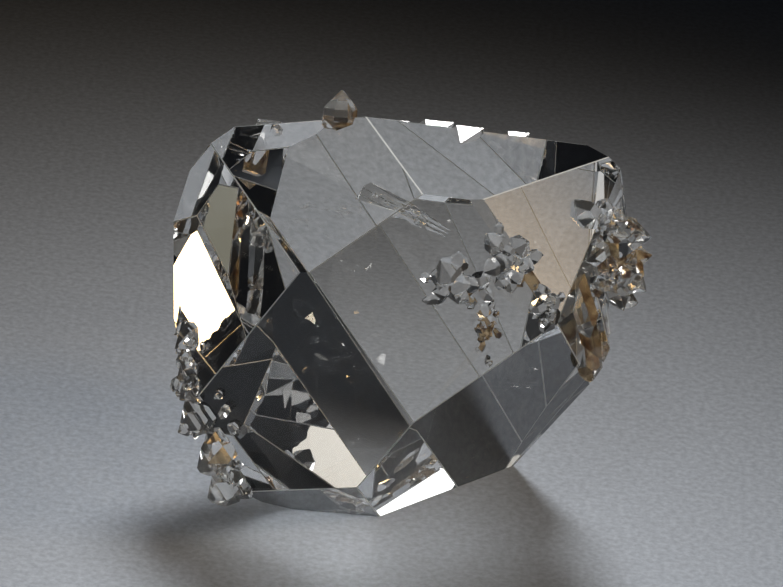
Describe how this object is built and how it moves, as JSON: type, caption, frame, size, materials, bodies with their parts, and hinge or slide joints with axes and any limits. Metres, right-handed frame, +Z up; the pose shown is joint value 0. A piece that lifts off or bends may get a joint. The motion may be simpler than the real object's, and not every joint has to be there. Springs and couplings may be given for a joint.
{
  "type": "herkimer diamond quartz crystal",
  "caption": "Clear double-ended quartz crystal with flat bright faces, resting on its underside, with bunches of small crystals grown on its right end, front and top edge.",
  "frame": {"origin": "middle of the bounding box, at the height of the contact face the crystal rests on", "axes": "+Z up, +Y away from the side with the large clear front face, +X to the right as seen from that side"},
  "size_m": [0.0254, 0.0194, 0.023],
  "materials": {
    "clear_quartz": "natural crystal faces, glossy and see-through"
  },
  "bodies": {
    "root": {"quartz_crystal": "clear_quartz"}
  },
  "joints": []
}
